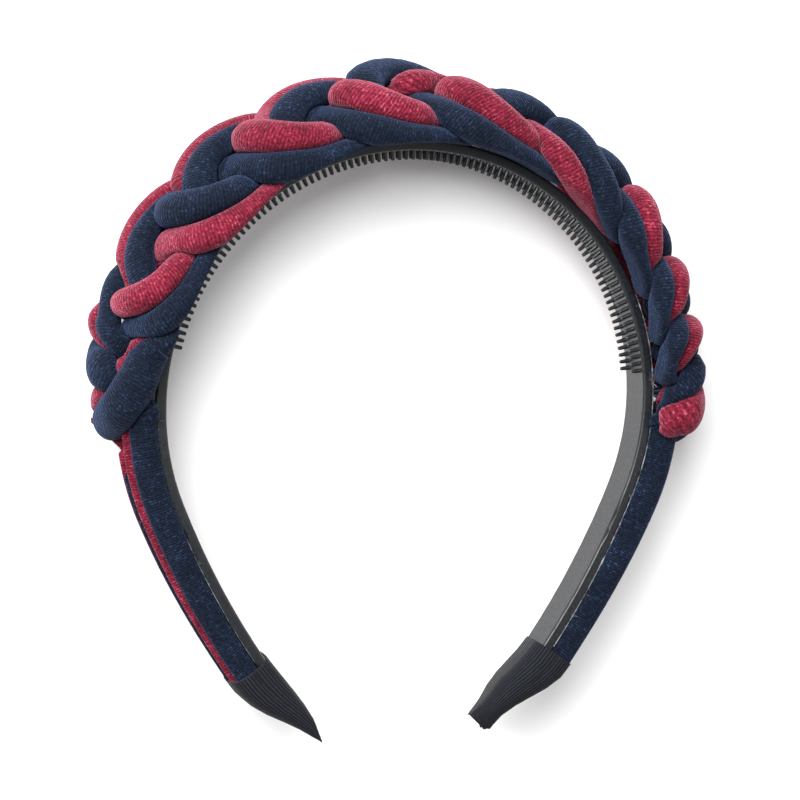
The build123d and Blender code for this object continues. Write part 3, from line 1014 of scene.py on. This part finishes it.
def hot_melt_glue(code):
    """Hot melt glue with velvet fibres caught in it. The eye gets a pale, slightly
    cloudy thread with darker dusty stretches."""
    material, tree = new_material("hot_melt_glue")
    place = add_node(tree, "ShaderNodeTexCoord").outputs["Object"]
    # Dusty stretches, 2 mm long
    dust = add_node(tree, "ShaderNodeTexNoise", {"Vector": place},
                    {"Scale": 1 / (2.5 * MM), "Detail": 3.0}).outputs["Fac"]
    base = colour_ramp(tree, dust, [
        (0.40, shade(code, 0.12)), (0.55, shade(code, 0.5)), (0.65, linear(code))])
    shader = add_node(tree, "ShaderNodeBsdfPrincipled", {"Base Color": base},
                      {"Roughness": 0.6, "IOR": 1.48})
    add_node(tree, "ShaderNodeOutputMaterial", {"Surface": shader.outputs["BSDF"]})
    return material


def ribbed_elastic(code, pitch):
    """Woven elastic of polyester over rubber. The eye gets soft black ribs along the
    sleeve with painted shade in the grooves, a fine crosswise weave, and a painted
    grey highlight on the ribs."""
    material, tree = new_material("woven_ribbed_elastic")
    cloth = add_node(tree, "ShaderNodeUVMap", uv_map="cloth").outputs["UV"]
    place = add_node(tree, "ShaderNodeTexCoord").outputs["Object"]
    # Yarn hairs, in spots of 0.3 mm
    yarn = add_node(tree, "ShaderNodeTexNoise", {"Vector": place},
                    {"Scale": 1 / (0.5 * MM), "Detail": 3.0, "Roughness": 0.7}).outputs["Fac"]
    # Ribs run along the sleeve, crosswise yarns are 0.45 mm apart
    rib = add_node(tree, "ShaderNodeTexWave", {"Vector": cloth},
                   {"Scale": ONE_BAND / (pitch * MM), "Distortion": 0.0},
                   wave_type="BANDS", bands_direction="X").outputs["Fac"]
    weft = add_node(tree, "ShaderNodeTexWave", {"Vector": cloth},
                    {"Scale": ONE_BAND / (0.45 * MM), "Distortion": 0.6, "Detail": 1.0},
                    wave_type="BANDS", bands_direction="Y").outputs["Fac"]
    tone = add_up(tree, [(rib, 0.45), (yarn, 0.45), (weft, 0.10)])
    # The ramp paints shade in the grooves between the ribs and grey highlights on their tops,
    # with the yarn spots and the weave mixed in
    base = colour_ramp(tree, tone, [
        (0.15, shade(code, 0.15)), (0.45, linear(code)), (0.62, shade(code, 2.6)),
        (0.80, shade(code, 4.5))])
    height = add_up(tree, [(rib, 3.0), (yarn, 1.0), (weft, 0.5)])
    bump = add_node(tree, "ShaderNodeBump", {"Height": height},
                    {"Strength": 0.8, "Distance": 0.12 * MM})
    shader = add_node(tree, "ShaderNodeBsdfPrincipled",
                      {"Base Color": base, "Normal": bump.outputs["Normal"]},
                      {"Roughness": 0.85, "IOR": 1.5, "Specular IOR Level": 0.2,
                       "Sheen Weight": 0.06, "Sheen Roughness": 0.4})
    add_node(tree, "ShaderNodeOutputMaterial", {"Surface": shader.outputs["BSDF"]})
    return material


class HEADBAND_OT_band(bpy.types.Operator):
    """Gives the toothed plastic band its finish"""
    bl_idname = "headband.band"
    bl_label = "Comb Band"

    def execute(self, context):
        material = moulded_plastic(settings().band.plastic)
        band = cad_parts["band"]
        for slot in band.material_slots:
            slot.material = material
        return {"FINISHED"}


class HEADBAND_OT_cords(bpy.types.Operator):
    """Makes the six stuffed velvet cords and presses them together"""
    bl_idname = "headband.cords"
    bl_label = "Velvet Cords"

    def execute(self, context):
        braid = settings().braid
        materials = {
            "navy": stretch_velvet("navy_stretch_velvet", braid.navy, braid.navy_sheen),
            "burgundy": stretch_velvet("burgundy_stretch_velvet", braid.burgundy,
                                       braid.burgundy_sheen),
        }
        shapes = []
        for strand in STRAND_LAG:
            for colour in materials:
                shapes.append(CordShape(strand, colour))
        shares = press_together(shapes)
        around = braid.around
        for shape in shapes:
            spokes = shape.spokes(around) * braid.plumpness
            points = shape.middles[:, None, :] + spokes * shares[shape.name][:, :, None]
            rings = len(shape.middles)
            cord = add_mesh("velvet_" + shape.name, points.reshape(-1, 3),
                            ring_faces(rings, around), materials[shape.colour])
            turn = np.abs(np.arange(around) / around - 0.5) * 2
            across = np.tile(turn * pi * braid.half_width, rings)
            lay_out_cloth(cord, across, np.repeat(shape.run, around))
            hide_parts(shape.name)
        return {"FINISHED"}


def cuff_rows(side):
    """Rows between the sleeve's sections, a step apart."""
    table = np.array(CUFFS[side])
    knots = table[:, 0]
    distances = np.arange(0.0, knots[-1] + CUFF_STEP / 2, CUFF_STEP)
    columns = [np.interp(distances, knots, column) for column in table.T]
    return np.stack(columns, axis=1)


def sleeve_points(side, rows, inset):
    """Rings of a sleeve, drawn in by an inset, and how far each point lies around it."""
    sleeve = settings().sleeve
    angle = 2 * pi * np.arange(SLEEVE_AROUND) / SLEEVE_AROUND
    last = rows[:, 0].max()
    points, runs = [], []
    for distance, inner, outer, width, squareness in rows:
        power = 2 / squareness
        across = np.sign(np.cos(angle)) * np.abs(np.cos(angle)) ** power
        deep = np.sign(np.sin(angle)) * np.abs(np.sin(angle)) ** power
        half_width, half_depth = width / 2 - inset, (outer - inner) / 2 - inset
        girth = np.hypot(np.diff(across, append=across[0]) * half_width,
                         np.diff(deep, append=deep[0]) * half_depth)
        share = np.concatenate([[0.0], np.cumsum(girth)[:-1]]) / girth.sum()
        lift = 0.0
        if inset == 0.0:
            rib = np.abs(np.sin(pi * sleeve.ribs * share))
            lift = rib ** RIB_ROUNDNESS * sleeve.rib_height
        size = 1 + lift / np.maximum(half_depth, 1.0)
        frayed = FRAY * smooth((distance - last + FRAY_LENGTH) / FRAY_LENGTH)
        # Three long tongues and eight short ones around the end
        end = frayed * (np.sin(3 * angle + 0.8) + 0.4 * np.sin(8 * angle))
        arcs = SIGN[side] * (sleeve.mouth_arc + distance + end)
        depth = (inner + outer) / 2 + deep * half_depth * size
        points.append(from_inner_face(arcs, across * (half_width + lift), depth))
        runs.append(share * sleeve.ribs * sleeve.rib_pitch)
    return np.concatenate(points), np.concatenate(runs)


class HEADBAND_OT_sleeves(bpy.types.Operator):
    """Makes the ribbed elastic sleeves on both tips"""
    bl_idname = "headband.sleeves"
    bl_label = "End Sleeves"

    def execute(self, context):
        sleeve = settings().sleeve
        material = ribbed_elastic(sleeve.elastic, sleeve.rib_pitch)
        for side in SIGN:
            rows = cuff_rows(side)
            turned_in = rows[:TURNED_IN][::-1]
            outside, outside_run = sleeve_points(side, rows, 0.0)
            lining, lining_run = sleeve_points(side, turned_in, sleeve.wall)
            points = np.concatenate([lining, outside])
            faces = ring_faces(len(turned_in) + len(rows), SLEEVE_AROUND)
            if side == "left":
                faces = [tuple(reversed(face)) for face in faces]
            piece = add_mesh("elastic_sleeve_" + side, points, faces, material)
            runs = np.concatenate([-turned_in[:, 0], rows[:, 0]])
            lay_out_cloth(piece, np.concatenate([lining_run, outside_run]),
                          np.repeat(runs, SLEEVE_AROUND))
            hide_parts("end_sleeve_" + side)
        return {"FINISHED"}


def tube(path, radii, around):
    """Rings of points along a path, in mm."""
    way = np.gradient(path, axis=0)
    way /= np.linalg.norm(way, axis=1, keepdims=True)
    # A direction that no path here follows
    first = np.cross(way, [0.31, 0.17, 0.94])
    first /= np.linalg.norm(first, axis=1, keepdims=True)
    second = np.cross(way, first)
    angle = 2 * pi * np.arange(around) / around
    spread = (first[:, None, :] * np.cos(angle)[None, :, None]
              + second[:, None, :] * np.sin(angle)[None, :, None])
    return (path[:, None, :] + spread * radii[:, None, None]).reshape(-1, 3)


def glue_and_hairs(seam):
    """A lumpy bead of glue on the outer corner of the plastic, and hairs pulled from it."""
    band = settings().band
    rng = np.random.default_rng(seam.seed)
    points, faces, count = [], [], 0

    def add(path, radii, around):
        nonlocal count
        points.append(tube(path, radii, around))
        for face in ring_faces(len(path), around):
            faces.append(tuple(number + count for number in face))
        count += len(path) * around

    edge = band.width / 2
    length = seam.last - seam.first
    arcs = np.linspace(seam.first, seam.last, int(length / BEAD_STEP))
    lumps = np.abs(rng.normal(0.0, seam.bead, len(arcs))) + BEAD_LEAST
    lumps = np.convolve(lumps, [0.25, 0.5, 0.25], mode="same")
    add(from_inner_face(arcs, edge - BEAD_IN, band.thickness - BEAD_DOWN), lumps, 6)
    share = np.linspace(0.0, 1.0, HAIR_RINGS)[:, None]
    for _ in range(seam.hairs):
        arc = rng.uniform(seam.first, seam.last)
        if rng.random() < CROWD_SHARE:
            arc = seam.spot + rng.normal(0.0, CROWD_SPREAD)
        start = from_inner_face(arc, edge, band.thickness - rng.uniform(0.0, HAIR_DEPTH))
        pull = outward(np.array(arc)) * rng.uniform(-HAIR_REACH, HAIR_REACH)
        pull += rng.normal(0.0, HAIR_SCATTER, 3)
        pull[2] = abs(pull[2]) + HAIR_FORWARD
        bow = np.sin(pi * share) * rng.normal(0.0, HAIR_BOW, 3)
        add(start + pull * share + bow, np.full(HAIR_RINGS, HAIR_RADIUS), 3)
    return np.concatenate(points), faces


class HEADBAND_OT_glue(bpy.types.Operator):
    """Adds the bead of glue between the plastic and the velvet, with its hairs"""
    bl_idname = "headband.glue"
    bl_label = "Glue and Hairs"

    def execute(self, context):
        material = hot_melt_glue(settings().band.glue)
        for seam in SEAMS:
            points, faces = glue_and_hairs(seam)
            bead = add_mesh("glue_bead_" + seam.side, points, faces, material)
        return {"FINISHED"}


def look_from(place, back, roll):
    """Matrix of a camera or lamp at a place, with its back to a direction, Y up."""
    right = np.cross([0.0, 1.0, 0.0], back)
    right /= np.linalg.norm(right)
    up = np.cross(back, right)
    turned = cos(roll) * right + sin(roll) * up
    upright = cos(roll) * up - sin(roll) * right
    rows = np.eye(4)
    rows[:3, 0], rows[:3, 1], rows[:3, 2], rows[:3, 3] = turned, upright, back, place
    return Matrix(rows.tolist())


def stand(data, matrix):
    """Puts a lamp or a camera in the scene."""
    holder = bpy.data.objects.new(data.name, data)
    bpy.context.scene.collection.objects.link(holder)
    holder.matrix_world = matrix
    return holder


def lay_floor(code):
    """A wide pale floor, matte painted board. The eye gets soft shadows on even white."""
    material, tree = new_material("matte_painted_board")
    shader = add_node(tree, "ShaderNodeBsdfPrincipled", None,
                      {"Base Color": linear(code), "Roughness": 0.9})
    add_node(tree, "ShaderNodeOutputMaterial", {"Surface": shader.outputs["BSDF"]})
    mesh = bpy.data.meshes.new("pale_floor")
    corners = [(-1, -1, 0), (1, -1, 0), (1, 1, 0), (-1, 1, 0)]
    mesh.from_pydata([np.array(corner) * FLOOR_HALF for corner in corners], [],
                     [(0, 1, 2, 3)])
    mesh.materials.append(material)
    floor = bpy.data.objects.new("pale_floor", mesh)
    bpy.context.scene.collection.objects.link(floor)


class HEADBAND_OT_stage(bpy.types.Operator):
    """Makes the pale floor, the soft studio lights and the camera"""
    bl_idname = "headband.stage"
    bl_label = "Stage"

    def execute(self, context):
        stage = settings().stage
        scene = context.scene
        world = bpy.data.worlds.new("studio")
        world.use_nodes = True
        background = world.node_tree.nodes["Background"]
        background.inputs["Color"].default_value = (1, 1, 1, 1)
        background.inputs["Strength"].default_value = stage.daylight
        scene.world = world
        scene.view_settings.view_transform = "Standard"
        lay_floor(stage.floor)
        target = (crown_point() + AIM) * MM
        for lamp in LAMPS:
            light = bpy.data.lights.new(lamp.name, "AREA")
            light.shape = "DISK"
            light.size = lamp.size
            light.energy = lamp.power
            back = np.array(lamp.place)
            stand(light, look_from(target + back, back / np.linalg.norm(back), 0.0))
        azimuth, elevation = stage.azimuth, stage.elevation
        back = np.array([-sin(azimuth) * cos(elevation), sin(elevation),
                         cos(azimuth) * cos(elevation)])
        camera = bpy.data.cameras.new("photo_camera")
        camera.sensor_width = SENSOR_WIDTH
        camera.lens = stage.lens
        scene.camera = stand(camera, look_from(target + back * stage.distance, back, stage.roll))
        return {"FINISHED"}


class HEADBAND_PT_panel(bpy.types.Panel):
    """Lists the steps that dress the headband"""
    bl_idname = "HEADBAND_PT_panel"
    bl_label = "Headband"
    bl_space_type = "VIEW_3D"
    bl_region_type = "UI"
    bl_category = "Headband"

    def draw(self, context):
        for operator in OPERATORS:
            self.layout.operator(operator.bl_idname)
        for group in ("band", "braid", "sleeve", "stage"):
            box = self.layout.box()
            box.label(text=group.title())
            values = getattr(context.scene.headband, group)
            for name in values.bl_rna.properties.keys():
                if name not in ("rna_type", "name"):
                    box.prop(values, name)


OPERATORS = [
    HEADBAND_OT_band,
    HEADBAND_OT_cords,
    HEADBAND_OT_sleeves,
    HEADBAND_OT_glue,
    HEADBAND_OT_stage,
]
CLASSES = [
    BandSettings,
    BraidSettings,
    SleeveSettings,
    StageSettings,
    HeadbandSettings,
    *OPERATORS,
    HEADBAND_PT_panel,
]


def register():
    for item in CLASSES:
        bpy.utils.register_class(item)
    bpy.types.Scene.headband = bpy.props.PointerProperty(type=HeadbandSettings)


def unregister():
    del bpy.types.Scene.headband
    for item in reversed(CLASSES):
        bpy.utils.unregister_class(item)


def main():
    register()
    bpy.ops.headband.band()
    bpy.ops.headband.cords()
    bpy.ops.headband.sleeves()
    bpy.ops.headband.glue()
    bpy.ops.headband.stage()


if __name__ == "__main__":
    main()
